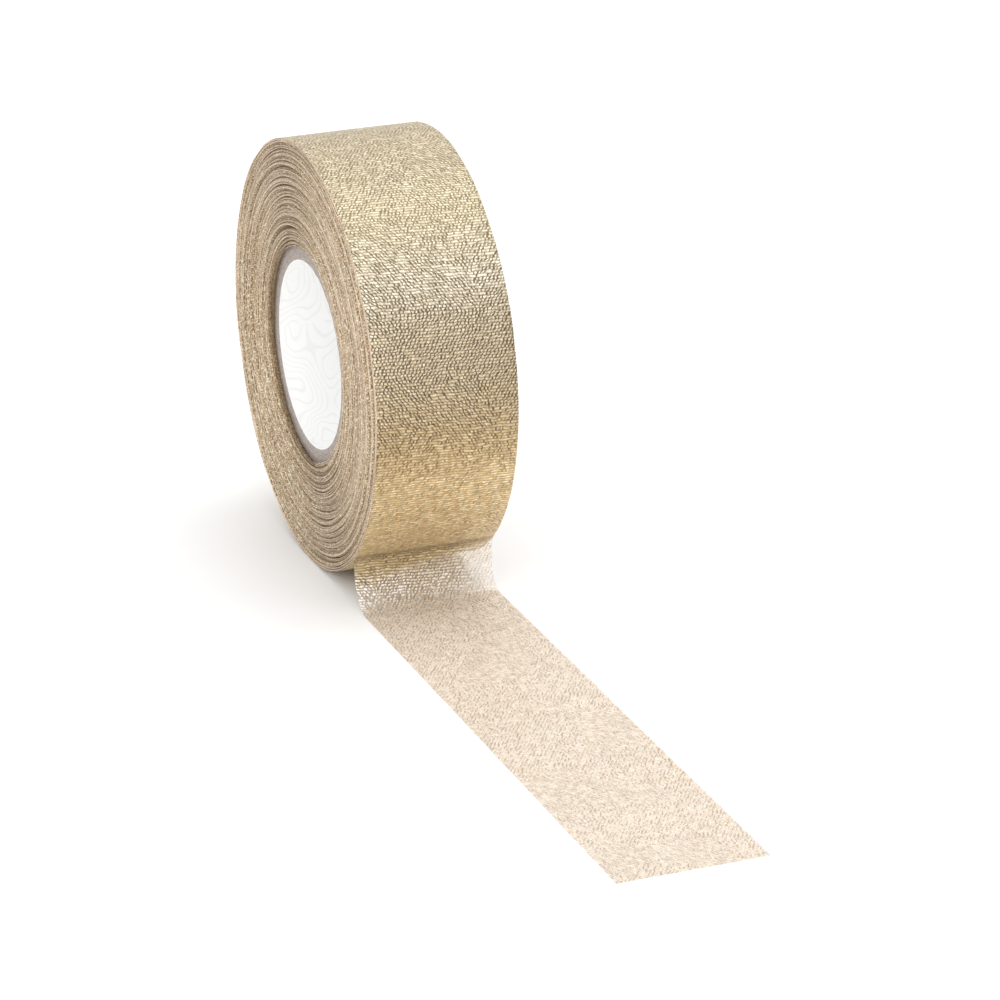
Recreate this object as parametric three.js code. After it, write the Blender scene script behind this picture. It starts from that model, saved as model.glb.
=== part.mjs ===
// Roll of 25 mm metallic ribbon on a board core, standing on its tread with its free end drawn
// forward on the table. Millimetres. X is the roll's axis, -Y is the way the ribbon is pulled, +Z is
// up, and the origin is the middle of the flat on which the roll stands.

import * as THREE from "three";

// Ribbon
const ribbonWidth = 25;
const stripThickness = 0.4; // a plain solid stands for the thin cloth
const tailReach = 139.5; // from under the axis to the cut end
const leaveAngle = 41; // degrees from the roll's lowest line, where the ribbon leaves it
const heldAngle = 4; // degrees of the lay-off that still lie along the roll
const liftRadius = 1.2; // backward bend as the ribbon leaves the roll
const floorBendRadius = 2.8; // bend from the drop into the run along the table
const bendLength = 32; // from under the axis to where the tail starts
const bendSteps = 3; // half the flats on each arc of the bend

// Roll. Radii are measured to the middle of a facet, so a facet's flat is the roll's foot.
const facets = 48;
const rollRadius = 37.5;
const lastTurnThickness = 0.45;
const windingRadius = 19.5; // inside of the wound ribbon
const turnGroups = 3; // solids that stand for the turns under the last one
const ridgesPerGroup = 4;
const ridgeShift = 0.25; // how far a ridge of turns stands out sideways, each way
const ridgeRhythm = 2.4; // radians between one ridge's shift and the next

// Core
const boreRadius = 16.25;
const linerThickness = 0.2;
const coreRadius = 19.3;
const coreLength = 22.8;
const plyNames = ["core_inner_ply", "core_middle_ply", "core_outer_ply"];

// Strip of tape that holds the ribbon's inner end to the core
const tapeThickness = 0.1;
const tapeWidth = 18;
const tapeFacets = 4;

// Clearances
const bondGap = 0.05; // between pieces that are glued or wound on each other
const freeGap = 0.3; // between pieces that move past each other

const radians = THREE.MathUtils.degToRad;
const facetAngle = (2 * Math.PI) / facets;
const acrossX = new THREE.Vector3(1, 0, 0);
const alongY = new THREE.Vector3(0, 1, 0);
const upZ = new THREE.Vector3(0, 0, 1);

function paint(color, roughness, metalness) {
  return new THREE.MeshStandardMaterial({ color, roughness, metalness });
}

const finishes = {
  liner: () => paint("#f1f0ee", 0.7, 0),
  board: () => paint("#a39a96", 0.9, 0),
  tape: () => paint("#e9dfc4", 0.35, 0),
  ribbonSide: () => paint("#b9a797", 0.6, 0.3),
  ribbonFace: () => paint("#cdb98a", 0.4, 0.6),
  ribbonTail: () => paint("#ecdccb", 0.6, 0.2),
};

const object = new THREE.Group();

function addPiece(name, geometry, material) {
  const piece = new THREE.Mesh(geometry, material);
  piece.name = name;
  object.add(piece);
  return piece;
}

// Turns a closed profile of (radius, place along the axis) points round the roll's axis.
function turnedPiece(name, profile, material) {
  const spread = 1 / Math.cos(facetAngle / 2); // facet middle to facet corner
  const points = profile.map(([radius, along]) => new THREE.Vector2(radius * spread, along));
  points.push(points[0].clone());
  const geometry = new THREE.LatheGeometry(points, facets, facetAngle / 2);
  geometry.applyMatrix4(new THREE.Matrix4().makeBasis(upZ, acrossX, alongY));
  return addPiece(name, geometry, material).translateZ(rollRadius);
}

function ringProfile(innerRadius, outerRadius, length) {
  const end = length / 2;
  return [
    [innerRadius, -end],
    [outerRadius, -end],
    [outerRadius, end],
    [innerRadius, end],
  ];
}

// The strip never winds quite straight, so whole ridges of turns stand to one side or the other.
function ridgedProfile(innerRadius, outerRadius, firstRidge) {
  const ridgeHeight = (outerRadius - innerRadius) / ridgesPerGroup;
  const leftSide = [];
  const rightSide = [];
  for (let ridge = 0; ridge < ridgesPerGroup; ridge += 1) {
    const shift = ridgeShift * Math.sin(ridgeRhythm * (firstRidge + ridge));
    const bottom = innerRadius + ridge * ridgeHeight;
    leftSide.push([bottom, shift - ribbonWidth / 2], [bottom + ridgeHeight, shift - ribbonWidth / 2]);
    rightSide.push([bottom, shift + ribbonWidth / 2], [bottom + ridgeHeight, shift + ribbonWidth / 2]);
  }
  return [...leftSide, ...rightSide.reverse()];
}

// Core: a white paper liner inside three plies of board
function buildCore() {
  const linerRadius = boreRadius + linerThickness;
  turnedPiece("core_liner", ringProfile(boreRadius, linerRadius, coreLength), finishes.liner());
  const boardStart = linerRadius + bondGap;
  const plyPitch = (coreRadius + bondGap - boardStart) / plyNames.length;
  plyNames.forEach((name, index) => {
    const inner = boardStart + index * plyPitch;
    turnedPiece(name, ringProfile(inner, inner + plyPitch - bondGap, coreLength), finishes.board());
  });
}

// Extrudes a section drawn in the (Y, Z) plane across the roll, centred on it.
function crossPiece(name, section, width, material) {
  const geometry = new THREE.ExtrudeGeometry(section, { depth: width, bevelEnabled: false });
  geometry.translate(0, 0, -width / 2);
  geometry.applyMatrix4(new THREE.Matrix4().makeBasis(alongY, upZ, acrossX));
  return addPiece(name, geometry, material);
}

// Tape on top of the core, its facets in line with the core's
function buildStartTape() {
  const spread = 1 / Math.cos(facetAngle / 2);
  const inner = (coreRadius + bondGap) * spread;
  const outer = inner + tapeThickness * spread;
  const innerSide = [];
  const outerSide = [];
  for (let corner = 0; corner <= tapeFacets; corner += 1) {
    const angle = Math.PI / 2 + facetAngle * (corner - tapeFacets / 2 + 1 / 2);
    const direction = new THREE.Vector2(Math.cos(angle), Math.sin(angle));
    innerSide.push(direction.clone().multiplyScalar(inner));
    outerSide.push(direction.clone().multiplyScalar(outer));
  }
  const section = new THREE.Shape([...outerSide, ...innerSide.reverse()]);
  crossPiece("start_tape", section, tapeWidth, finishes.tape()).translateZ(rollRadius);
}

// Wound ribbon: groups of turns, then the last turn, which is the tread
function buildWinding() {
  const names = ["ribbon_inner_turns", "ribbon_middle_turns", "ribbon_outer_turns"];
  const lastTurnInside = rollRadius - lastTurnThickness;
  const groupPitch = (lastTurnInside - windingRadius) / turnGroups;
  names.forEach((name, index) => {
    const inner = windingRadius + index * groupPitch;
    const profile = ridgedProfile(inner, inner + groupPitch - bondGap, index * ridgesPerGroup);
    turnedPiece(name, profile, finishes.ribbonSide());
  });
  const tread = ringProfile(lastTurnInside, rollRadius, ribbonWidth);
  turnedPiece("ribbon_last_turn", tread, finishes.ribbonFace());
}

// Centre line of the ribbon from the roll to the table: along the roll, back over itself, straight
// down, and forward into the run.
function layOffLine() {
  const laidRadius = rollRadius + freeGap + stripThickness / 2;
  const leave = radians(270 - leaveAngle); // angles here turn from +Y towards +Z
  const reach = laidRadius + liftRadius;
  const liftY = reach * Math.cos(leave);
  const liftZ = rollRadius + reach * Math.sin(leave);
  const dropY = liftY + liftRadius;
  const runHeight = stripThickness / 2;
  const bendZ = runHeight + floorBendRadius;
  const line = new THREE.Path();
  line.absarc(0, rollRadius, laidRadius, leave - radians(heldAngle), leave);
  line.absarc(liftY, liftZ, liftRadius, leave - Math.PI, 0, true);
  line.lineTo(dropY, bendZ);
  line.absarc(dropY - floorBendRadius, bendZ, floorBendRadius, 0, -Math.PI / 2, true);
  line.lineTo(-bendLength, runHeight);
  return line;
}

// Closed outline of a strip of even thickness along a line
function stripSection(line, pointsPerPart) {
  const centres = line.getPoints(pointsPerPart);
  const above = [];
  const below = [];
  centres.forEach((centre, index) => {
    const before = centres[Math.max(index - 1, 0)];
    const after = centres[Math.min(index + 1, centres.length - 1)];
    const along = after.clone().sub(before).normalize();
    const out = new THREE.Vector2(-along.y, along.x).multiplyScalar(stripThickness / 2);
    above.push(centre.clone().add(out));
    below.push(centre.clone().sub(out));
  });
  return new THREE.Shape([...above, ...below.reverse()]);
}

function buildFreeRibbon() {
  const bend = stripSection(layOffLine(), bendSteps);
  crossPiece("ribbon_bend", bend, ribbonWidth, finishes.ribbonTail());
  const run = new THREE.Path();
  run.moveTo(-bendLength - freeGap, stripThickness / 2);
  run.lineTo(-tailReach, stripThickness / 2);
  crossPiece("ribbon_tail", stripSection(run, 1), ribbonWidth, finishes.ribbonTail());
}

buildCore();
buildStartTape();
buildWinding();
buildFreeRibbon();

export default object;
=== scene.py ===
"""Looks of a roll of metallic gift ribbon on a board core, standing on its tread with its free end
drawn forward over the table. Metres, in the CAD frame: X is the roll's axis, -Y the way the ribbon
is pulled, +Z up. Angles round the roll turn from +Y towards +Z."""

import math

import bpy
import numpy as np
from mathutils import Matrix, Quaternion, Vector


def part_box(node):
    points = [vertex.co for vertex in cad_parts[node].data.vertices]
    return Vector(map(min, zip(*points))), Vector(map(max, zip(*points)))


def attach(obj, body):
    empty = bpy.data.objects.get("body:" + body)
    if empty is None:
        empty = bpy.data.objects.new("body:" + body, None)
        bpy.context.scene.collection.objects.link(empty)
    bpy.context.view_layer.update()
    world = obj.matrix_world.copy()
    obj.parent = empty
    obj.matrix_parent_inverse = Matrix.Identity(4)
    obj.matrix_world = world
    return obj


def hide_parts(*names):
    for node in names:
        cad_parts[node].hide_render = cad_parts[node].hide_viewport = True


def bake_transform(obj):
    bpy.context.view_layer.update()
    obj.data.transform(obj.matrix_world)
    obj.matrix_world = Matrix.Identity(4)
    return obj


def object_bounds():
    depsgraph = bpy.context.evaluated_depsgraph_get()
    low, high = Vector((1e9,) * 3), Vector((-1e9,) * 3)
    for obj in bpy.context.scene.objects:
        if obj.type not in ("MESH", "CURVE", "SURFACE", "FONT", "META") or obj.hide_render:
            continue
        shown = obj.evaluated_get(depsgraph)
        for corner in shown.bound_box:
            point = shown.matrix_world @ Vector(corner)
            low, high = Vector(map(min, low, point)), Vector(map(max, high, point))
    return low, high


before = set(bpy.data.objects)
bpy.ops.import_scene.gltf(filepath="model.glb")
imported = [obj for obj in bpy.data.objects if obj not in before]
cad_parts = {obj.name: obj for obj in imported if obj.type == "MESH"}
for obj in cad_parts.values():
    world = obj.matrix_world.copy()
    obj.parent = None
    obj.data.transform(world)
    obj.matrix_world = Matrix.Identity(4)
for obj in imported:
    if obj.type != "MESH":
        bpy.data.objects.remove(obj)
cad_low, cad_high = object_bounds()

MM = 0.001


def node_box(node):
    low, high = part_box(node)
    return low, high, high - low


# Sizes that the CAD gives
tread_low, tread_high, tread_size = node_box("ribbon_last_turn")
roll_radius = tread_size.z / 2
axis_height = (tread_low.z + tread_high.z) / 2
ribbon_width = tread_size.x
core_size = node_box("core_outer_ply")[2]
core_radius = core_size.z / 2
core_length = core_size.x
liner_radius = node_box("core_liner")[2].z / 2
inner_ply_radius = node_box("core_inner_ply")[2].z / 2
middle_ply_radius = node_box("core_middle_ply")[2].z / 2
tape_low, tape_high, tape_size = node_box("start_tape")
inner_band_radius = node_box("ribbon_inner_turns")[2].z / 2
middle_band_radius = node_box("ribbon_middle_turns")[2].z / 2
cut_end = node_box("ribbon_tail")[0].y

# Cloth
TURN_PITCH = 0.129 * MM  # thickness of one wound turn
CLOTH_THICKNESS = 0.09 * MM
SELVEDGE = 0.12 * MM  # width of the rounded edge of the strip
PRESSED_THICKNESS = TURN_PITCH - 0.004 * MM  # of a turn inside the roll, with its fibres
PRESSED_SELVEDGE = 0.05 * MM
ROW_PITCH = 0.525 * MM  # between one metallic weft thread and the next
CELL_WIDTH = 0.66 * MM  # between the places where warp threads cross over a row
ROW_TILT = -0.055  # the rows lie slightly aslant, as a slope
PAINTED_SHADE_ANGLE = math.radians(124)  # where round the roll painted shade darkens the last turn most
CRISP_HIGHLIGHT_ANGLE = math.radians(162)  # where its weave shows most, painted brighter as a highlight
TIGHT_SHADED_ANGLE = math.radians(173)  # where it is tightest, painted darker as shade
CALM_REFLECTION_ANGLE = math.radians(216)  # and where it is smoothest, with a warm reflection painted on it
GLITTER_ANGLE = math.radians(325)  # where round the roll glints are painted most thickly on the side's weft ends
SCALLOP = 0.035 * MM  # how far the weft loops stand out of the selvedge

# Paper and board
LINER_THICKNESS = 0.2 * MM
BOND_GAP = 0.05 * MM
GLUE_LINE = 0.01 * MM

# How finely things are cut
ROUND_STEPS = 192
SEED = 20


# ---------------------------------------------------------------- smooth steps and waves


def eased(share):
    """0 below 0, 1 above 1, and a smooth step between them."""
    share = np.clip(share, 0, 1)
    return share * share * (3 - 2 * share)


def smooth_between(places, knots, values):
    at = np.clip(np.searchsorted(knots, places) - 1, 0, len(knots) - 2)
    share = eased((places - knots[at]) / (knots[at + 1] - knots[at]))
    return values[at] * (1 - share) + values[at + 1] * share


def smooth_noise(places, knots, random, size):
    """Smooth random wave of the given size with one random value at each knot."""
    return smooth_between(places, knots, random.uniform(-size, size, len(knots)))


# ---------------------------------------------------------------- meshes


def add_object(name, mesh):
    piece = bpy.data.objects.new(name, mesh)
    bpy.context.scene.collection.objects.link(piece)
    return piece


def ring_points(radius, angle, along):
    """Points in the frame from a radius and an angle round the roll's axis, and a place along it."""
    y = radius * np.cos(angle)
    z = axis_height + radius * np.sin(angle)
    return np.stack(np.broadcast_arrays(along, y, z), axis=-1)


def loft(name, sections, across, along, closed):
    """A solid through (n, m, 3) sections, each a closed outline of m points. across (n, m) and along
    (n,) are the cloth's own coordinates. A closed loft has one more value of along, where it meets its
    start."""
    count, size = sections.shape[:2]
    first = np.arange(count if closed else count - 1)
    row, column = np.meshgrid(first, np.arange(size), indexing="ij")
    next_row = row + 1
    next_column = (column + 1) % size
    corner_rows = np.stack([row, next_row, next_row, row], axis=-1).reshape(-1, 4)
    corner_columns = np.stack([column, column, next_column, next_column], axis=-1).reshape(-1, 4)
    corners = (corner_rows % count) * size + corner_columns
    faces = corners.tolist()
    if not closed:
        faces.append(list(range(size)))
        faces.append([(count - 1) * size + point for point in reversed(range(size))])
    mesh = bpy.data.meshes.new(name)
    mesh.from_pydata(sections.reshape(-1, 3).tolist(), [], faces)
    u = across.reshape(-1)[corners]
    v = np.asarray(along)[corner_rows]
    strip_map = np.stack([u, v], axis=-1).reshape(-1, 2)
    if not closed:
        start_cap = np.stack([across[0], np.full(size, along[0])], axis=-1)
        end_cap = np.stack([across[-1][::-1], np.full(size, along[-1])], axis=-1)
        strip_map = np.concatenate([strip_map, start_cap, end_cap])
    layer = mesh.uv_layers.new(name="strip")
    layer.data.foreach_set("uv", (strip_map / MM).astype(np.float32).ravel())
    mesh.validate()
    return mesh


def store(mesh, name, values):
    """Keeps one number for each point, for a material to read."""
    attribute = mesh.attributes.new(name, "FLOAT", "POINT")
    attribute.data.foreach_set("value", values.astype(np.float32).ravel())


def finish_mesh(mesh, sharp_angle=40):
    mesh.polygons.foreach_set("use_smooth", [True] * len(mesh.polygons))
    mesh.set_sharp_from_angle(angle=math.radians(sharp_angle))
    mesh.update()


def turned(name, profile, steps=ROUND_STEPS, roughen=None):
    """A ring round the roll's axis from a closed (radius, along) outline. roughen(radius, angle, along)
    gives the points' true radius and place along the axis."""
    angle = (np.arange(steps) * 2 * math.pi / steps)[:, None]
    radius = np.array([r for r, _ in profile])[None, :] + 0 * angle
    along = np.array([a for _, a in profile])[None, :] + 0 * angle
    if roughen:
        radius, along = roughen(radius, angle, along)
    sections = ring_points(radius, angle, along)
    mean_radius = float(np.mean(radius))
    distance = np.arange(steps + 1) * 2 * math.pi / steps * mean_radius
    mesh = loft(name, sections, along, distance, closed=True)
    finish_mesh(mesh)
    return add_object(name, mesh)


def strip_outline(half_width, thickness, columns, selvedge=SELVEDGE):
    """Outline of the cloth cut across, as (across, out) points: flat faces and rounded selvedges."""
    flat = np.linspace(-half_width + selvedge, half_width - selvedge, columns)
    half = thickness / 2
    upper = [(x, half) for x in flat]
    lower = [(x, -half) for x in flat[::-1]]
    return np.array([(-half_width, 0), *upper, (half_width, 0), *lower])


def selvedge_side(outline):
    """-1 and 1 at the strip's left and right selvedges, and 0 between them."""
    across = outline[:, 0]
    return np.sign(across) * (np.abs(across) > ribbon_width / 2 - SELVEDGE * 1.5)


# ---------------------------------------------------------------- core


def board_profile(inner, outer, chamfer=0.03 * MM):
    end = core_length / 2
    return [
        (inner, -end + chamfer),
        (inner + chamfer, -end),
        ((inner + outer) / 2, -end),
        (outer - chamfer, -end),
        (outer, -end + chamfer),
        (outer, end - chamfer),
        (outer - chamfer, end),
        ((inner + outer) / 2, end),
        (inner + chamfer, end),
        (inner, end - chamfer),
    ]


def torn_ends(seed, depth):
    """Board cut with a knife: its ends rise and fall a little round the ring."""
    random = np.random.default_rng(seed)
    waves = np.arange(2, 60)
    phases = random.uniform(0, 2 * math.pi, (2, len(waves)))
    strengths = random.uniform(0.3, 1, (2, len(waves))) / np.sqrt(len(waves))

    def roughen(radius, angle, along):
        right, left = (
            (strength * np.sin(waves * angle + phase)).sum(axis=1, keepdims=True)
            for strength, phase in zip(strengths, phases)
        )
        ends = np.where(along > 0, right, -left)
        return radius, along + depth * ends

    return roughen


def build_core():
    plies = [
        ("board_inner_ply", "core_inner_ply", liner_radius + GLUE_LINE, inner_ply_radius),
        ("board_middle_ply", "core_middle_ply", inner_ply_radius + GLUE_LINE, middle_ply_radius),
        ("board_outer_ply", "core_outer_ply", middle_ply_radius + GLUE_LINE, core_radius),
    ]
    material = board_material()
    for index, (name, node, inner, outer) in enumerate(plies):
        rough = torn_ends(SEED + index, 0.05 * MM)
        ply = turned(name, board_profile(inner, outer), roughen=rough)
        ply.data.materials.append(material)
        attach(ply, "roll")
        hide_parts(node)


def build_liner():
    inner = liner_radius - LINER_THICKNESS
    end = core_length / 2
    steps = 24
    places = np.linspace(-end, end, steps)
    profile = [(inner, a) for a in places] + [(liner_radius, a) for a in places[::-1]]

    def relief(radius, angle, along):
        """The paper follows the board's spiral windings, as a very shallow wave."""
        wave = 0.02 * MM * np.sin(3 * angle + 420 * along) * (radius < (inner + liner_radius) / 2)
        return radius + wave, along

    liner = turned("paper_liner", profile, roughen=relief)
    liner.data.materials.append(paper_material())
    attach(liner, "roll")
    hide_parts("core_liner")


def build_start_tape():
    half_width = tape_size.x / 2
    outer = tape_high.z - axis_height
    inner = core_radius + BOND_GAP
    start = math.atan2(tape_low.z - axis_height, tape_high.y)
    end = math.atan2(tape_low.z - axis_height, tape_low.y)
    steps = 40
    angle = np.linspace(start, end, steps)[:, None]
    outline = strip_outline(half_width, outer - inner, 12)
    radius = (inner + outer) / 2 + outline[None, :, 1]
    sections = ring_points(radius, angle, outline[None, :, 0] + 0 * angle)
    across = np.repeat(outline[None, :, 0], steps, axis=0)
    mesh = loft("start_tape_film", sections, across, angle[:, 0] * outer, closed=False)
    finish_mesh(mesh)
    tape = add_object("start_tape_film", mesh)
    tape.data.materials.append(tape_material())
    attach(tape, "roll")
    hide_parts("start_tape")


# ---------------------------------------------------------------- wound ribbon

WINDING_START = tape_high.z - axis_height + BOND_GAP
WINDING_END = roll_radius - TURN_PITCH
TURNS = (WINDING_END - WINDING_START) / TURN_PITCH
OUTER_TURNS = 6  # a last ridge of turns, wound on separately
RIDGE_TURNS = (3.5, 9.0)  # from one ridge to the next
RIDGE_LEVEL = 0.3  # mm that a ridge stands to one side, at most
RIDGE_BLEND = 1.6  # turns over which one ridge gives way to the next
GROOVE_DEPTHS = (0.05, 0.34)  # mm
GROOVE_REACH = 0.8  # turns
STRAND_TURNS = 1.35
STRAND_SHIFT = 0.22  # mm
WANDER_TURNS = 0.37
WANDER_SHIFT = 0.08  # mm
GAPE_TURN = TURNS - 17  # where one groove gapes, low down at the front
GAPE_ANGLE = math.radians(218)
GAPE_DEPTH = 0.8 * MM
GAPE_REACH = 0.9  # turns
SLACK = 0.09 * MM  # how far the turns bulge in or out
RIM_LEAN = 2.1 * MM  # how far the first turns' edges lean in over the board
band_half_width = ribbon_width / 2 - 0.15 * MM


class SideShift:
    """How far the strip stands to one side at a turn. Whole ridges of turns drift together, grooves open
    between them, strands of two or three turns show within them, and every turn wanders a little."""

    def __init__(self):
        random = np.random.default_rng(SEED)
        edges = [-4.0]
        while edges[-1] < TURNS - OUTER_TURNS - 4:
            edges.append(edges[-1] + random.uniform(*RIDGE_TURNS))
        edges += [TURNS - OUTER_TURNS, TURNS + 3, TURNS + 8]
        self.edges = np.array(edges)
        count = len(edges)
        self.levels = random.uniform(-RIDGE_LEVEL, RIDGE_LEVEL, count) * MM
        self.phases = random.uniform(0, 2 * math.pi, (3, count))
        self.depths = random.uniform(*GROOVE_DEPTHS, count) * MM
        self.strand_steps = np.arange(-5, TURNS + 6, STRAND_TURNS)
        strands = random.uniform(-STRAND_SHIFT, STRAND_SHIFT, (2, len(self.strand_steps)))
        self.strands = strands * MM
        self.steps = np.arange(-5, TURNS + 6, WANDER_TURNS)
        self.wander = random.uniform(-WANDER_SHIFT, WANDER_SHIFT, len(self.steps)) * MM

    def __call__(self, turn, angle):
        place = turn + 0.6 * np.sin(2 * angle + 0.21 * turn) + 0.35 * np.sin(5 * angle + 0.5 * turn)
        at = np.clip(np.searchsorted(self.edges, place) - 1, 1, len(self.edges) - 2)
        into = eased((place - self.edges[at]) / RIDGE_BLEND)
        ridge = self.level(at, angle) * into + self.level(at - 1, angle) * (1 - into)
        nearest = np.where(place - self.edges[at] < self.edges[at + 1] - place, at, at + 1)
        from_groove = np.abs(place - self.edges[nearest])
        opening = 0.6 + 0.4 * np.sin(angle * 2 + self.phases[2][nearest])
        groove = self.depths[nearest] * opening * np.exp(-((from_groove / GROOVE_REACH) ** 2))
        share = 0.5 + 0.5 * np.sin(angle + 0.1 * turn)
        strands = [smooth_between(place, self.strand_steps, values) for values in self.strands]
        strand = strands[0] * share + strands[1] * (1 - share)
        wander = smooth_between(place, self.steps, self.wander)
        return ridge + groove + self.gape(place, angle) + strand + wander

    def level(self, at, angle):
        once_round = np.sin(angle + self.phases[0][at])
        thrice_round = np.sin(3 * angle + self.phases[1][at])
        return self.levels[at] * (1 + 0.4 * once_round + 0.25 * thrice_round)

    def gape(self, place, angle):
        """How much wider the one gaping groove opens."""
        near = np.exp(-(((place - GAPE_TURN) / GAPE_REACH) ** 2))
        return GAPE_DEPTH * near * eased(2 * np.cos(angle - GAPE_ANGLE) - 0.6)


def slackness(turn, angle):
    """The turns aren't quite round: each group bulges in or out a little, most where the roll stands."""
    waves = np.sin(7 * angle + 0.09 * turn) + 0.7 * np.sin(11 * angle - 0.13 * turn + 1)
    standing = 0.35 + 0.65 * eased(-np.sin(angle))
    return SLACK * waves * standing * np.sin(math.pi * np.clip(turn / TURNS, 0, 1))


def rim_lean(turn, angle, along):
    """Past the core's end, the edges of the first turns lean in over the board, mostly on the far side."""
    past = np.clip((np.abs(along) - core_length / 2) / (ribbon_width / 2 - core_length / 2), 0, 1)
    side = 0.5 + 0.5 * np.cos(angle + 0.5)
    return RIM_LEAN * past * side * np.exp(-turn / 5)


def build_band(name, node, inner, outer, material, side_shift):
    """The strip's windings between two radii, as one long spiral."""
    first = (inner - WINDING_START) / TURN_PITCH
    last = (outer - WINDING_START) / TURN_PITCH
    count = int((last - first) * ROUND_STEPS) + 1
    turn = np.linspace(first, last, count)
    angle = turn * 2 * math.pi
    radius = WINDING_START + turn * TURN_PITCH
    shift = side_shift(turn, angle)
    around = sum(side_shift(turn + near, angle) for near in (-3, -2, -1, 1, 2, 3)) / 6
    outline = band_outline(name)
    along = outline[None, :, 0] + shift[:, None]
    lean = rim_lean(turn[:, None], angle[:, None], along)
    out = radius[:, None] + slackness(turn, angle)[:, None] + outline[None, :, 1] - lean
    sections = ring_points(out, angle[:, None], along)
    distance = np.concatenate([[0], np.cumsum(radius[1:] * np.diff(angle))])
    across = np.repeat(outline[None, :, 0], count, axis=0)
    mesh = loft(name, sections, across, distance + first * 10 * MM, closed=False)
    finish_mesh(mesh, sharp_angle=75)
    # How far each turn is sunk below its neighbours, kept for painted shade in the grooves and a painted
    # highlight on the crests
    sunk = (shift - around)[:, None] * -np.sign(outline[None, :, 0]) / (0.25 * MM)
    store(mesh, "sunk", np.clip(sunk, -1, 1))
    store(mesh, "turn", np.repeat(turn[:, None], len(outline), axis=1))
    band = add_object(name, mesh)
    band.data.materials.append(material)
    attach(band, "roll")
    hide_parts(node)


def band_outline(name):
    """The strip cut across; the first band's has a fold line over each end of the core."""
    outline = strip_outline(band_half_width, PRESSED_THICKNESS, 2, PRESSED_SELVEDGE)
    if name != "inner_windings":
        return outline
    fold = core_length / 2
    half = PRESSED_THICKNESS / 2
    upper = [(-fold, half), (fold, half)]
    lower = [(fold, -half), (-fold, -half)]
    return np.array([*outline[:2], *upper, *outline[2:5], *lower, *outline[5:]])


def build_wound_ribbon():
    edges = windings_material()
    side_shift = SideShift()
    bands = [
        ("inner_windings", "ribbon_inner_turns", WINDING_START, inner_band_radius),
        ("middle_windings", "ribbon_middle_turns", inner_band_radius, middle_band_radius),
        ("outer_windings", "ribbon_outer_turns", middle_band_radius, WINDING_END),
    ]
    for name, node, inner, outer in bands:
        build_band(name, node, inner, outer, edges, side_shift)
    build_tread(tread_material())


TREAD_WANDER = 0.08 * MM  # of the last turn, from side to side
TREAD_CROWN = 0.04 * MM
TREAD_RIPPLE = 0.025 * MM


def build_tread(material):
    """The last turn. Weft loops stand out of its selvedges, row by row."""
    circumference = 2 * math.pi * roll_radius
    steps = 2 * round(circumference / ROW_PITCH)
    angle = np.arange(steps) * 2 * math.pi / steps
    random = np.random.default_rng(SEED + 5)
    outline = strip_outline(ribbon_width / 2, CLOTH_THICKNESS, 14)
    loops = SCALLOP * np.where(np.arange(steps) % 2, 1, -1)
    knots = np.linspace(0, 2 * math.pi, 40)
    edge_wave = smooth_noise(angle, knots, random, TREAD_WANDER)
    side = selvedge_side(outline)
    along = outline[None, :, 0] + loops[:, None] * side[None, :] + edge_wave[:, None]
    crown = TREAD_CROWN * np.cos(outline[:, 0] / ribbon_width * math.pi)
    radius = roll_radius - CLOTH_THICKNESS / 2 - TREAD_CROWN + outline[None, :, 1] + crown[None, :]
    ripple = smooth_noise(angle, np.linspace(0, 2 * math.pi, 90), random, TREAD_RIPPLE)
    sections = ring_points(radius + ripple[:, None], angle[:, None], along)
    distance = np.arange(steps + 1) * circumference / steps
    across = np.repeat(outline[None, :, 0], steps, axis=0)
    mesh = loft("last_turn", sections, across, distance, closed=True)
    finish_mesh(mesh, sharp_angle=75)
    tread = add_object("last_turn", mesh)
    tread.data.materials.append(material)
    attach(tread, "roll")
    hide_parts("ribbon_last_turn")


# ---------------------------------------------------------------- free ribbon

LEAVE_ANGLE = math.radians(270 - 40.5)  # where the ribbon leaves the roll
HELD_ANGLE = math.radians(2)  # of the roll that it still lies on before that
HELD_STEPS = 14
BEND_STEPS = 60
RUN_STEP = ROW_PITCH / 2
FADE_IN = 3.2 * MM  # over which its layer parts from the layers beneath
OVER_LEFT = 7.0 * MM  # along the left edge, the length with the roll close behind it
OVER_RIGHT = 1.6 * MM
OVER_FADE = 1.6 * MM  # over which the roll stops showing through
FLAT_RUN = 24 * MM  # from the roll, before the run's waves begin
RIPPLE_FADE = 20 * MM
RIPPLE_SIZE = 0.06 * MM
EDGES = {  # each edge's bend: how far its curve carries on down the roll, where it lands, how tight
    "left": {"carry": 1.7 * MM, "land": 5.6 * MM, "pull": 6.0 * MM},
    "right": {"carry": 1.9 * MM, "land": 2.6 * MM, "pull": 3.8 * MM},
}


def bezier(points, count):
    share = np.linspace(0, 1, count)[:, None]
    p0, p1, p2, p3 = (np.array(p)[None, :] for p in points)
    keep = 1 - share
    return keep**3 * p0 + 3 * keep**2 * share * p1 + 3 * keep * share**2 * p2 + share**3 * p3


def edge_line(carry, land, pull):
    """(y, z) along one edge of the free ribbon, from the roll to the cut end."""
    lie = roll_radius + CLOTH_THICKNESS / 2 + 0.03 * MM
    floor = CLOTH_THICKNESS / 2 + 0.02 * MM
    held = np.linspace(LEAVE_ANGLE - HELD_ANGLE, LEAVE_ANGLE, HELD_STEPS)
    on_roll = np.stack([lie * np.cos(held), axis_height + lie * np.sin(held)], axis=1)
    leave = on_roll[-1]
    heading = np.array([-math.sin(LEAVE_ANGLE), math.cos(LEAVE_ANGLE)])
    landing = np.array([leave[0] - land, floor])
    bend = bezier([leave, leave + carry * heading, landing + [pull, 0], landing], BEND_STEPS)
    run_length = landing[0] - cut_end
    run_y = landing[0] - run_length * np.linspace(0, 1, round(run_length / RUN_STEP))
    run = np.stack([run_y, np.full_like(run_y, floor)], axis=1)
    return on_roll[:-1], bend[:-1], run


def line_lengths(line):
    return np.concatenate([[0], np.cumsum(np.linalg.norm(np.diff(line, axis=0), axis=1))])


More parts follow.
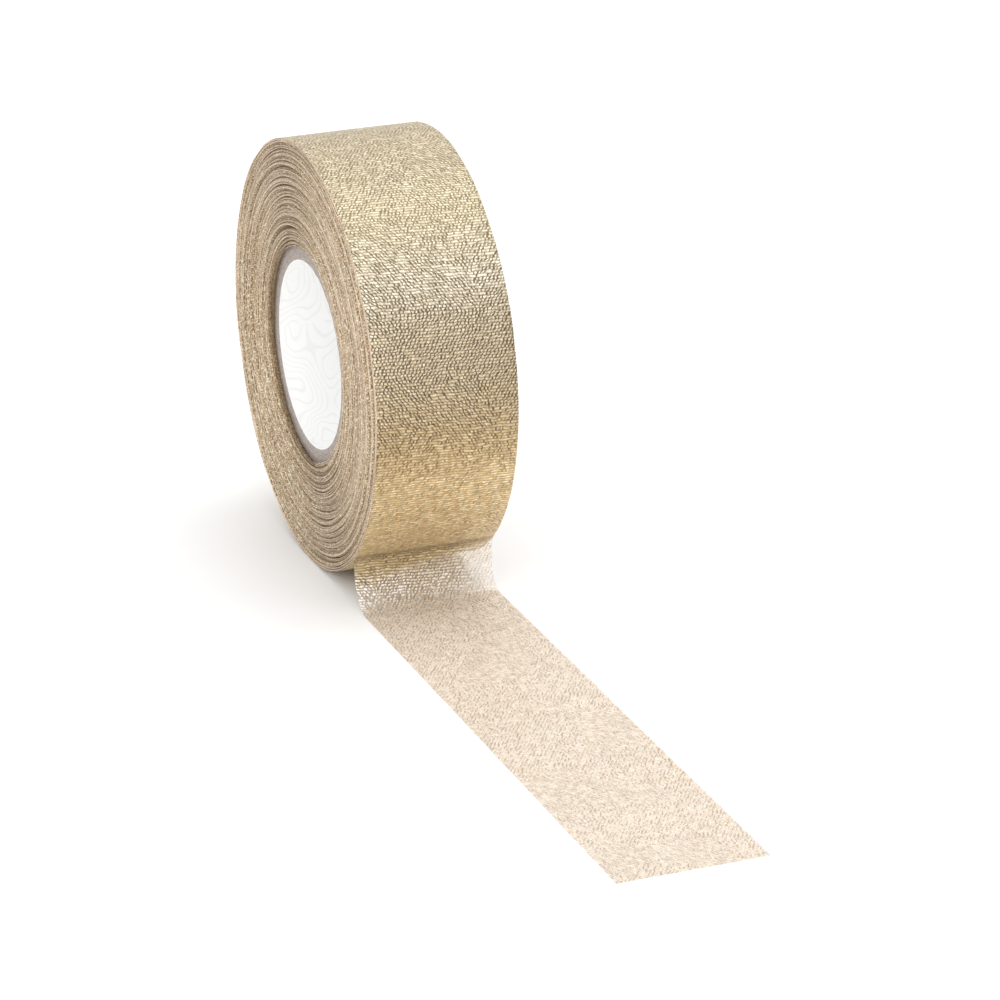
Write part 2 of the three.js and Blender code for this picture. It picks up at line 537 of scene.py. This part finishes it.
def free_lines():
    """The two edges' lines, with as many points in each other's parts."""
    parts = {side: edge_line(**shape) for side, shape in EDGES.items()}
    share = np.linspace(0, 1, len(parts["left"][2]))
    lines = {}
    for side, (on_roll, bend, run) in parts.items():
        own = np.linspace(0, 1, len(run))
        run = np.stack([np.interp(share, own, run[:, 0]), np.interp(share, own, run[:, 1])], axis=1)
        lines[side] = np.concatenate([on_roll, bend, run])
    return lines


def free_sections(lines, outline, rightness, distance):
    """The cloth cut across at each point of the lines, the left line leading to the right one."""
    middle = lines["left"][:, None, :] * (1 - rightness) + lines["right"][:, None, :] * rightness
    heading = np.gradient(middle, axis=0)
    heading /= np.linalg.norm(heading, axis=2, keepdims=True)
    out = np.stack([heading[:, :, 1], -heading[:, :, 0]], axis=2)
    random = np.random.default_rng(SEED + 9)
    lift = ripples(distance, outline[:, 0], random)
    thin = np.clip(distance / (2 * MM), 0.15, 1)[:, None]
    middle = middle + out * (outline[None, :, 1] * thin)[:, :, None]
    middle[:, :, 1] += lift
    loops = SCALLOP * np.where(np.arange(len(distance)) % 2, 1, -1)[:, None]
    along_axis = outline[None, :, 0] + loops * selvedge_side(outline)[None, :]
    return np.concatenate([along_axis[:, :, None], middle], axis=2)


def store_free_zones(mesh, lines, rightness, distance):
    """Marks where the layer has begun, where sparkles and shade are painted on the bend and where it lets
    light through, and where the roll is close behind it, whose shaded look is painted on the layer there."""
    begun = np.repeat(eased(distance / FADE_IN)[:, None], rightness.shape[1], axis=1)
    store(mesh, "begun", begun)
    fold = line_lengths(lines["left"])[HELD_STEPS + BEND_STEPS - 2]
    # The bend's zone, for painted sparkles and painted shade
    gleam = eased(1.25 - np.abs(distance - 0.62 * fold) / (0.3 * fold))[:, None]
    store(mesh, "gleam", gleam * (1 - 0.7 * rightness))
    store(mesh, "airy", gleam * eased(2 * rightness - 0.9))
    reach = OVER_LEFT * (1 - rightness) + OVER_RIGHT * rightness
    store(mesh, "over", eased((reach - distance[:, None]) / OVER_FADE + 0.5))


def build_free_ribbon():
    lines = free_lines()
    centre = (lines["left"] + lines["right"]) / 2
    distance = line_lengths(centre)
    outline = strip_outline(ribbon_width / 2, CLOTH_THICKNESS, 24)
    rightness = (outline[:, 0] / ribbon_width + 0.5)[None, :]
    sections = free_sections(lines, outline, rightness[:, :, None], distance)
    across = np.repeat(outline[None, :, 0], len(distance), axis=0)
    mesh = loft("free_ribbon", sections, across, distance + centre[:, 0], closed=False)
    finish_mesh(mesh, sharp_angle=75)
    store_free_zones(mesh, lines, rightness, distance)
    ribbon = add_object("free_ribbon", mesh)
    ribbon.data.materials.append(free_material())
    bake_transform(ribbon)
    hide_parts("ribbon_bend", "ribbon_tail")


def ripples(distance, across, random):
    """Height of the run's slight waves over the table, nothing on the roll and in the bend."""
    rise = eased((distance - FLAT_RUN) / RIPPLE_FADE)
    knots = np.linspace(0, distance[-1], 14)
    edges = [smooth_noise(distance, knots, random, 1) for _ in range(3)]
    place = across / (ribbon_width / 2)
    wave = (
        edges[0][:, None] * (place < 0) * place**2
        + edges[1][:, None] * (place > 0) * place**2
        + 0.5 * edges[2][:, None] * (1 - place**2)
    )
    return RIPPLE_SIZE * rise[:, None] * (wave + 1)


# ---------------------------------------------------------------- materials


class Nodes:
    """Adds nodes to one material, each call giving back the new node's output."""

    def __init__(self, name):
        self.material = bpy.data.materials.new(name)
        self.material.use_nodes = True
        self.tree = self.material.node_tree
        self.shader = self.tree.nodes["Principled BSDF"]

    def feed(self, socket, value):
        if isinstance(value, bpy.types.NodeSocket):
            self.tree.links.new(value, socket)
        else:
            socket.default_value = value

    def node(self, kind, inputs=(), **settings):
        made = self.tree.nodes.new("ShaderNode" + kind)
        for key, value in settings.items():
            setattr(made, key, value)
        for key, value in dict(inputs).items():
            self.feed(made.inputs[key], value)
        return made

    def math(self, operation, *values):
        made = self.node("Math", operation=operation)
        for socket, value in zip(made.inputs, values):
            self.feed(socket, value)
        return made.outputs[0]

    def vector_math(self, operation, *values):
        made = self.node("VectorMath", operation=operation)
        for socket, value in zip(made.inputs, values):
            self.feed(socket, value)
        return made.outputs[0]

    def scaled(self, vector, factor):
        made = self.node("VectorMath", {"Vector": vector, "Scale": factor}, operation="SCALE")
        return made.outputs[0]

    def ramp(self, value, start, end, low=0.0, high=1.0):
        """low before start, high after end, and a smooth step between them."""
        settings = {"Value": value, "From Min": start, "From Max": end, "To Min": low, "To Max": high}
        return self.node("MapRange", settings, interpolation_type="SMOOTHSTEP").outputs[0]

    def combine(self, x, y, z=0.0):
        return self.node("CombineXYZ", {"X": x, "Y": y, "Z": z}).outputs[0]

    def random(self, vector):
        """A fixed random value, and a random colour, for each whole vector."""
        made = self.node("TexWhiteNoise", {"Vector": vector}, noise_dimensions="3D")
        return made.outputs["Value"], made.outputs["Color"]

    def noise(self, vector, scale, detail=2.0, roughness=0.5):
        settings = {"Vector": vector, "Scale": scale, "Detail": detail, "Roughness": roughness}
        return self.node("TexNoise", settings).outputs[0]

    def mix(self, share, first, second, **settings):
        made = self.node("Mix", data_type="RGBA", **settings)
        for index, value in zip((0, 6, 7), (share, first, second)):
            self.feed(made.inputs[index], value)
        return made.outputs[2]

    def mix_value(self, share, first, second):
        made = self.node("Mix", data_type="FLOAT")
        for index, value in zip((0, 2, 3), (share, first, second)):
            self.feed(made.inputs[index], value)
        return made.outputs[0]

    def tinted(self, tone, tint):
        return self.mix(1.0, tone, tint, blend_type="MULTIPLY")

    def stored(self, name):
        """The number that store() kept for each point."""
        return self.node("Attribute", attribute_name=name).outputs["Fac"]

    def bump(self, height, strength, distance):
        settings = {"Height": height, "Strength": strength, "Distance": distance}
        return self.node("Bump", settings).outputs[0]

    def strip(self):
        """Across and along the strip, in millimetres."""
        made = self.node("UVMap", uv_map="strip")
        parts = self.node("SeparateXYZ", {"Vector": made.outputs[0]})
        return parts.outputs[0], parts.outputs[1]

    def place(self):
        """The point itself, in metres."""
        return self.node("TexCoord").outputs["Object"]

    def set(self, **values):
        for key, value in values.items():
            self.feed(self.shader.inputs[key.replace("_", " ")], value)
        return self.material


def colour(red, green, blue):
    """Linear colour from the eight-bit values that a screen shows."""
    parts = [c / 255 for c in (red, green, blue)]
    linear = [p / 12.92 if p <= 0.04045 else ((p + 0.055) / 1.055) ** 2.4 for p in parts]
    return (*linear, 1.0)


ROW_WAVES = [  # scale, detail and height in mm of the waves in the rows
    (0.35, 1.0, 0.5),
    (1.3, 2.0, 0.4),
]
JOINT_LEAN = 0.6  # of a cell, that a joint slants from one side of its row to the other, either way
JOINT_NUDGE = 1.3  # of a cell, that a joint strays from its place
ROW_OFFSET = 0.45  # of a cell, that a row strays
PATCH_MIDDLE = -0.05  # how readily a joint is covered, and how much that differs from patch to patch
PATCH_RANGE = 0.2
CALM_COVER = 0.5
JOINT_EDGES = (0.08, 0.34)  # of a cell, from a joint's middle to where the weft is back on top


def along_rows(nodes, across, along):
    """Along the strip, less the rows' slant and waves, so that a row keeps one value."""
    slanted = nodes.math("MULTIPLY_ADD", across, ROW_TILT, along)
    for scale, detail, height in ROW_WAVES:
        wave = nodes.noise(nodes.combine(across, slanted), scale, detail=detail)
        slanted = nodes.math("MULTIPLY_ADD", wave, height, slanted)
    return slanted


def weave(nodes, across, along, calm=0.0, patchy=1.0):
    """Rows of metallic weft, bound by warp threads that cross over them brickwise. Those joints are
    hardly seen where the cloth is calm, and patchy says how much that changes from place to place. Gives
    how much of the row's thread lies on top (0 to 1), the thread itself, a random value and colour for
    each stitch, and the row."""
    slanted = along_rows(nodes, across, along)
    rows = nodes.math("DIVIDE", slanted, ROW_PITCH / MM)
    row = nodes.math("FLOOR", rows)
    row_random, _ = nodes.random(nodes.combine(row, 7.0))
    from_middle = nodes.math("SUBTRACT", nodes.math("FRACT", rows), 0.5)
    thread = nodes.ramp(nodes.math("ABSOLUTE", from_middle), 0.1, 0.5, 1.0, 0.35)
    half_step = nodes.math("MULTIPLY", nodes.math("FLOORED_MODULO", row, 2.0), 0.5)
    offset = nodes.math("MULTIPLY_ADD", row_random, ROW_OFFSET, half_step)
    place = nodes.combine(across, slanted)
    lean = nodes.ramp(nodes.noise(place, 0.04), 0.42, 0.58, JOINT_LEAN, -JOINT_LEAN)
    offset = nodes.math("MULTIPLY_ADD", from_middle, lean, offset)
    nudge = nodes.math("MULTIPLY_ADD", nodes.noise(place, 1.9), JOINT_NUDGE, offset)
    cells = nodes.math("ADD", nodes.math("DIVIDE", across, CELL_WIDTH / MM), nudge)
    joint = nodes.math("ROUND", cells)
    joint_random, _ = nodes.random(nodes.combine(joint, row, 3.0))
    patches = nodes.noise(place, 0.3, detail=3.0, roughness=0.6)
    swing = PATCH_RANGE * patchy
    bias = nodes.ramp(patches, 0.35, 0.65, PATCH_MIDDLE - swing, PATCH_MIDDLE + swing)
    bias = nodes.math("MULTIPLY_ADD", calm, CALM_COVER, bias)
    covered = nodes.ramp(nodes.math("ADD", joint_random, bias), 0.3, 1.0)
    from_joint = nodes.math("ABSOLUTE", nodes.math("SUBTRACT", cells, joint))
    beside_joint = nodes.ramp(from_joint, *JOINT_EDGES)
    fibres = nodes.noise(nodes.combine(across, nodes.math("MULTIPLY", slanted, 1.7)), 2.6, detail=2.0)
    thread = nodes.math("MULTIPLY", thread, nodes.ramp(fibres, 0.3, 0.6, 0.6, 1.0))
    on_top = nodes.math("MULTIPLY", thread, nodes.math("MAXIMUM", beside_joint, covered))
    stitch_random, stitch_colour = nodes.random(nodes.combine(nodes.math("FLOOR", cells), row, 11.0))
    return on_top, thread, stitch_random, stitch_colour, row


def glinting_normal(nodes, stitch_colour, strength):
    """Each stitch of the foil thread lies at its own small angle."""
    tilt = nodes.vector_math("SUBTRACT", stitch_colour, (0.5, 0.5, 0.5))
    normal = nodes.node("NewGeometry").outputs["Normal"]
    tilted = nodes.vector_math("ADD", normal, nodes.scaled(tilt, strength))
    return nodes.vector_math("NORMALIZE", tilted)


# The cloth's colours as a screen shows them: its ground, its foil thread, and a glint painted on that
SOFT_SHADES = [(128, 108, 74), (234, 220, 190), (252, 246, 226)]  # the last turn's
CRISP_HIGHLIGHT_SHADES = [(88, 72, 46), (253, 241, 216), (255, 255, 246)]  # where its weave shows most, painted brighter as a highlight
WALL_SHADES = [(126, 98, 66), (232, 210, 172), (255, 250, 228)]  # a groove's walls
SHEER_SHADES = [(212, 188, 158), (250, 231, 205), (255, 250, 232)]  # one layer's
ROLL_BEHIND_SHADES = [(100, 80, 48), (222, 198, 152), (244, 226, 188)]  # that layer close over the roll, painted with the shaded roll's look behind it

# Tints of the cloth, all painted light or shade but the joints', and the tones of its edges, some of them
# painted too, and of the other materials
# painted shade on the last turn's upper front
PAINTED_SHADE_TINT = colour(236, 238, 236)
# painted warm reflection, low on the last turn
WARM_REFLECTION_TINT = colour(255, 244, 222)
# painted shade where the last turn is tightest
TIGHT_SHADE_TINT = colour(202, 188, 162)
# painted shade and painted sparkles on the free ribbon's bend
BEND_SHADE_TINT = colour(206, 196, 180)
SHEER_JOINT = colour(170, 144, 112)
SPARKLE = colour(255, 254, 250)
EDGE_TONES = (colour(132, 106, 80), colour(240, 220, 190))
DARK_STRAND = colour(112, 84, 60)
PALE_STRAND = colour(250, 234, 214)
# the ground's tint where glints are painted thickest, and the painted glint's colour
GLITTER_TINT = colour(212, 196, 164)
EDGE_GLINT = colour(255, 250, 230)
# painted shade in the grooves and a painted highlight on the crests
GROOVE_SHADE = colour(108, 80, 56)
CREST_HIGHLIGHT = colour(240, 222, 202)
LAST_EDGE = colour(236, 212, 194)
PAPER_TONES = (colour(238, 238, 237), colour(246, 246, 245))
PAPER_LINE = colour(205, 205, 204)
BOARD_TONES = (colour(138, 128, 122), colour(188, 178, 170))
BOARD_SPECK = colour(226, 220, 212)
TAPE_TONES = (colour(214, 198, 158), colour(240, 228, 196))


def lame_tones(nodes, on_top, stitch_random, shades):
    """Foil thread over the cloth's ground, with glints painted on it. shades are the ground's, the
    thread's and a painted glint's colours.
    """
    ground, foil, glint = (colour(*shade) for shade in shades)
    lit = nodes.math("MULTIPLY", on_top, nodes.ramp(stitch_random, 0.0, 0.8, 0.72, 1.0))
    tone = nodes.mix(lit, ground, foil)
    # a painted glint on the foil stitches that lie most on top
    painted_glint = nodes.math("MULTIPLY", nodes.ramp(on_top, 0.6, 1.0), nodes.ramp(stitch_random, 0.5, 1.0))
    return nodes.mix(nodes.math("MULTIPLY", painted_glint, 0.8), tone, glint)


def zone(nodes, angle, middle, edge):
    """1 at one place round the roll, falling to 0 where the cosine of the angle from it is edge."""
    return nodes.ramp(nodes.math("COSINE", nodes.math("SUBTRACT", angle, middle)), edge, 1.0)


def tread_material():
    """Gold lamé, many layers deep. Round the roll its weave is crisper and painted brighter as a highlight
    at one place, tighter and painted darker as shade at the next, and then smoother with a warm reflection
    painted on it. Painted shade darkens it above these."""
    nodes = Nodes("ribbon_tread")
    across, along = nodes.strip()
    angle = nodes.math("DIVIDE", along, roll_radius / MM)
    crisp_highlight = zone(nodes, angle, CRISP_HIGHLIGHT_ANGLE, 0.82)
    tight_and_shaded = zone(nodes, angle, TIGHT_SHADED_ANGLE, 0.88)
    calm = zone(nodes, angle, CALM_REFLECTION_ANGLE, 0.62)
    bias = nodes.math("MULTIPLY_ADD", tight_and_shaded, -0.5, calm)
    on_top, _, stitch_random, stitch_colour, _ = weave(nodes, across, along, bias, patchy=0.6)
    soft_tone = lame_tones(nodes, on_top, stitch_random, SOFT_SHADES)
    crisp_highlight_tone = lame_tones(nodes, on_top, stitch_random, CRISP_HIGHLIGHT_SHADES)
    # Painted shade darkens the upper front of the last turn
    painted_shade = zone(nodes, angle, PAINTED_SHADE_ANGLE, 0.9)
    tone = nodes.mix(painted_shade, soft_tone, nodes.tinted(soft_tone, PAINTED_SHADE_TINT))
    # The crisp part is painted brighter, as a highlight
    tone = nodes.mix(crisp_highlight, tone, crisp_highlight_tone)
    # A warm reflection painted where the last turn is smoothest
    tone = nodes.mix(calm, tone, nodes.tinted(tone, WARM_REFLECTION_TINT))
    # Painted shade where the last turn is tightest
    tight_shaded_tone = nodes.tinted(tone, TIGHT_SHADE_TINT)
    nodes.set(
        Base_Color=nodes.mix(nodes.math("MULTIPLY", tight_and_shaded, 0.7), tone, tight_shaded_tone),
        Metallic=nodes.math("MULTIPLY", on_top, 0.6),
        Roughness=nodes.ramp(stitch_random, 0.0, 1.0, 0.36, 0.5),
        Normal=glinting_normal(nodes, stitch_colour, 0.26),
    )
    return nodes.material


def windings_material():
    """The same cloth seen from the side: the turns' selvedges, with the weft's ends as grains and glints
    painted on them, painted shade in the grooves and a painted highlight on the crests.
    """
    nodes = Nodes("ribbon_edges")
    across, along = nodes.strip()
    on_top, _, stitch_random, stitch_colour, row = weave(nodes, across, along)
    tone = lame_tones(nodes, on_top, stitch_random, WALL_SHADES)
    half_width = band_half_width / MM
    edge = nodes.ramp(nodes.math("ABSOLUTE", across), half_width - 0.07, half_width - 0.03)
    sunk = nodes.stored("sunk")
    turn = nodes.stored("turn")
    strands = nodes.noise(nodes.combine(turn, 0.5), 0.9, detail=2.0, roughness=0.6)
    grain, grain_tilt = nodes.random(nodes.combine(row, nodes.math("FLOOR", turn), 5.0))
    glitter = zone(nodes, nodes.math("MULTIPLY", turn, 2 * math.pi), GLITTER_ANGLE, 0.1)
    shine = nodes.math("MULTIPLY_ADD", grain, 0.34, nodes.math("MULTIPLY_ADD", on_top, 0.48, 0.06))
    edge_tone = nodes.mix(shine, *EDGE_TONES)
    edge_tone = nodes.mix(nodes.ramp(strands, 0.36, 0.47, 0.85, 0.0), edge_tone, DARK_STRAND)
    edge_tone = nodes.mix(nodes.ramp(strands, 0.52, 0.62, 0.0, 0.6), edge_tone, PALE_STRAND)
    # Painted glints on the weft ends, thickest at one place round the roll, on a ground tinted darker
    # there
    edge_tone = nodes.mix(glitter, edge_tone, nodes.tinted(edge_tone, GLITTER_TINT))
    glint = nodes.math("MULTIPLY_ADD", glitter, 0.16, grain)
    edge_tone = nodes.mix(nodes.ramp(glint, 0.86, 0.92, 0.0, 0.9), edge_tone, EDGE_GLINT)
    # Painted shade where a turn is sunk, and a painted highlight where it stands proud
    edge_tone = nodes.mix(nodes.ramp(sunk, 0.0, 0.7, 0.0, 0.65), edge_tone, GROOVE_SHADE)
    edge_tone = nodes.mix(nodes.ramp(sunk, -0.8, 0.0, 0.35, 0.0), edge_tone, CREST_HIGHLIGHT)
    last = nodes.ramp(turn, TURNS - OUTER_TURNS - 0.5, TURNS - OUTER_TURNS + 0.5, 0.0, 0.5)
    edge_tone = nodes.mix(last, edge_tone, LAST_EDGE)
    tilts = nodes.mix(edge, stitch_colour, grain_tilt)
    nodes.set(
        Base_Color=nodes.mix(edge, tone, edge_tone),
        Metallic=nodes.mix_value(edge, nodes.math("MULTIPLY", on_top, 0.5), 0.15),
        Roughness=nodes.ramp(stitch_random, 0.0, 1.0, 0.34, 0.5),
        Normal=glinting_normal(nodes, tilts, 0.5),
    )
    return nodes.material


def free_material():
    """The same cloth in one layer: sheer, so what lies behind it shows between its threads. Close over the
    roll it is painted with the shaded roll's look, and its bend has painted sparkles and painted shade.
    """
    nodes = Nodes("free_ribbon_cloth")
    across, from_y = nodes.strip()
    y = nodes.node("SeparateXYZ", {"Vector": nodes.place()}).outputs[1]
    along = nodes.math("MULTIPLY_ADD", y, -1 / MM, from_y)
    gleam = nodes.stored("gleam")
    over = nodes.stored("over")
    on_top, thread, stitch_random, stitch_colour, _ = weave(nodes, across, along, over, patchy=0.25)
    tone = lame_tones(nodes, on_top, stitch_random, SHEER_SHADES)
    pit = nodes.ramp(on_top, 0.04, 0.24, 1.0, 0.0)
    tone = nodes.mix(pit, tone, SHEER_JOINT)
    # Close over the roll the layer is painted with the shaded roll's look behind it
    roll_behind_tone = lame_tones(nodes, on_top, stitch_random, ROLL_BEHIND_SHADES)
    tone = nodes.mix(over, tone, roll_behind_tone)
    # Painted sparkles on the bend, and painted shade tinting it darker
    dots = nodes.math("MULTIPLY", nodes.ramp(stitch_random, 0.1, 0.25), nodes.ramp(on_top, 0.62, 0.82))
    sparkle = nodes.math("MULTIPLY", gleam, dots)
    tone = nodes.mix(nodes.math("MULTIPLY", gleam, 0.6), tone, nodes.tinted(tone, BEND_SHADE_TINT))
    threads = nodes.ramp(thread, 0.4, 0.85, 0.1, 0.44)
    sheer = nodes.math("MAXIMUM", threads, nodes.math("MULTIPLY", pit, 0.36))
    sheer = nodes.math("MULTIPLY", sheer, nodes.ramp(nodes.stored("airy"), 0.0, 1.0, 1.0, 0.55))
    sheer = nodes.mix_value(nodes.math("MULTIPLY", over, 0.75), sheer, 0.85)
    sheer = nodes.mix_value(sparkle, sheer, 1.0)
    nodes.set(
        Base_Color=nodes.mix(sparkle, tone, SPARKLE),
        Metallic=nodes.math("MULTIPLY", on_top, 0.4),
        Roughness=nodes.ramp(stitch_random, 0.0, 1.0, 0.36, 0.5),
        Normal=glinting_normal(nodes, stitch_colour, 0.22),
        Alpha=nodes.math("MULTIPLY", sheer, nodes.stored("begun")),
    )
    return nodes.material


def paper_material():
    """White paper with a faint grain of long closed lines."""
    nodes = Nodes("white_liner_paper")
    across, along = nodes.strip()
    place = nodes.combine(across, nodes.math("MULTIPLY", along, 0.55))
    hills = nodes.noise(place, 0.09, detail=1.5, roughness=0.4)
    level = nodes.math("FRACT", nodes.math("MULTIPLY", hills, 26.0))
    from_line = nodes.math("ABSOLUTE", nodes.math("SUBTRACT", level, 0.5))
    line = nodes.ramp(from_line, 0.0, 0.2, 1.0, 0.0)
    fibres = nodes.noise(place, 9.0, detail=4.0, roughness=0.7)
    base = nodes.mix(fibres, *PAPER_TONES)
    bump = nodes.bump(nodes.math("SUBTRACT", fibres, line), 0.12, 0.1 * MM)
    nodes.set(
        Base_Color=nodes.mix(nodes.math("MULTIPLY", line, 0.24), base, PAPER_LINE),
        Roughness=nodes.ramp(fibres, 0.0, 1.0, 0.55, 0.75),
        Normal=bump,
    )
    return nodes.material


def board_material():
    """Grey recycled board, fibrous, with pale specks."""
    nodes = Nodes("grey_core_board")
    place = nodes.place()
    fibres = nodes.noise(place, 2600.0, detail=5.0, roughness=0.75)
    specks = nodes.noise(place, 7000.0, detail=2.0)
    tone = nodes.mix(nodes.ramp(fibres, 0.3, 0.7), *BOARD_TONES)
    tone = nodes.mix(nodes.ramp(specks, 0.62, 0.72, 0.0, 0.6), tone, BOARD_SPECK)
    bump = nodes.bump(fibres, 0.6, 0.2 * MM)
    nodes.set(Base_Color=tone, Roughness=nodes.ramp(specks, 0.3, 0.7, 0.8, 0.95), Normal=bump)
    return nodes.material


def tape_material():
    """Creamy film with fine wrinkles."""
    nodes = Nodes("cream_tape_film")
    place = nodes.place()
    clouds = nodes.noise(place, 300.0, detail=3.0)
    bump = nodes.bump(clouds, 0.3, 0.2 * MM)
    tone = nodes.mix(clouds, *TAPE_TONES)
    nodes.set(Base_Color=tone, Roughness=nodes.ramp(clouds, 0.3, 0.7, 0.25, 0.4), Normal=bump)
    return nodes.material


# ---------------------------------------------------------------- studio


TABLE_HALF = 4.0
TABLE_DEPTH = 0.02 * MM  # of the table's top under the ribbon
TABLE_TONES = [(0.88, 0.88, 0.88, 1), (0.9, 0.9, 0.9, 1)]
TENT_HORIZON = 0.7  # strength of the white tent's light
TENT_TOP = 1.3
LAMPS = {
    "key": {"place": (0.4, 0.05, 1.35), "size": 0.9, "power": 4.7},
    "side_fill": {"place": (-1.3, -0.5, 0.9), "size": 0.6, "power": 3.2},
    "front_fill": {"place": (-0.1, -1.3, 0.22), "size": 0.8, "power": 5.8},
}


def build_floor():
    steps = 40
    places = np.linspace(-TABLE_HALF, TABLE_HALF, steps)
    x, y = np.meshgrid(places, places, indexing="ij")
    points = np.stack([x, y, np.full_like(x, -TABLE_DEPTH)], axis=2).reshape(-1, 3)
    row, column = np.meshgrid(np.arange(steps - 1), np.arange(steps - 1), indexing="ij")
    start = (row * steps + column).reshape(-1, 1)
    faces = np.concatenate([start, start + steps, start + steps + 1, start + 1], axis=1)
    mesh = bpy.data.meshes.new("table")
    mesh.from_pydata(points.tolist(), [], faces.tolist())
    floor = add_object("table", mesh)
    nodes = Nodes("pale_table")
    tone = nodes.mix(nodes.noise(nodes.place(), 1.5), *TABLE_TONES)
    nodes.set(Base_Color=tone, Roughness=0.9)
    floor.data.materials.append(nodes.material)


def build_world():
    """A white tent: dim at the horizon and bright overhead."""
    world = bpy.data.worlds.new("studio")
    bpy.context.scene.world = world
    world.use_nodes = True
    tree = world.node_tree
    background = tree.nodes["Background"]
    background.inputs["Color"].default_value = (1, 1, 1, 1)
    direction = tree.nodes.new("ShaderNodeTexCoord").outputs["Generated"]
    height = tree.nodes.new("ShaderNodeSeparateXYZ")
    strength = tree.nodes.new("ShaderNodeMapRange")
    strength.inputs["To Min"].default_value = TENT_HORIZON
    strength.inputs["To Max"].default_value = TENT_TOP
    tree.links.new(direction, height.inputs[0])
    tree.links.new(height.outputs["Z"], strength.inputs["Value"])
    tree.links.new(strength.outputs[0], background.inputs["Strength"])


def add_lamp(name, target, place, size, power):
    lamp = bpy.data.lights.new(name, "AREA")
    lamp.shape = "DISK"
    lamp.size = size
    lamp.energy = power
    piece = add_object(name, lamp)
    piece.location = place
    piece.rotation_mode = "QUATERNION"
    piece.rotation_quaternion = (Vector(target) - Vector(place)).to_track_quat("-Z", "Y")


def build_studio():
    build_floor()
    build_world()
    centre = (cad_low + cad_high) / 2
    for name, lamp in LAMPS.items():
        add_lamp(name, centre, **lamp)


CAMERA_AZIMUTH = math.radians(20.847)  # from +Y towards +X
CAMERA_DROP = math.radians(21.141)  # how far it looks down
CAMERA_ROLL = -0.013424  # radians
CAMERA_DISTANCE = 0.767
CAMERA_LENS = 160.12
AIM_FROM_CENTRE = Vector((0.016816, 0.034246, -0.025014))


def build_camera():
    camera = bpy.data.cameras.new("camera")
    camera.lens = CAMERA_LENS
    camera.sensor_width = 36
    camera.clip_start = 0.05
    camera.clip_end = 50
    piece = add_object("camera", camera)
    level = math.cos(CAMERA_DROP)
    look = Vector(
        (
            math.sin(CAMERA_AZIMUTH) * level,
            math.cos(CAMERA_AZIMUTH) * level,
            -math.sin(CAMERA_DROP),
        )
    )
    aim = (cad_low + cad_high) / 2 + AIM_FROM_CENTRE
    piece.location = aim - look * CAMERA_DISTANCE
    piece.rotation_mode = "QUATERNION"
    piece.rotation_quaternion = look.to_track_quat("-Z", "Y") @ Quaternion((0, 0, 1), CAMERA_ROLL)
    bpy.context.scene.camera = piece


build_core()
build_liner()
build_start_tape()
build_wound_ribbon()
build_free_ribbon()
build_studio()
build_camera()
bpy.context.scene.view_settings.view_transform = "Standard"
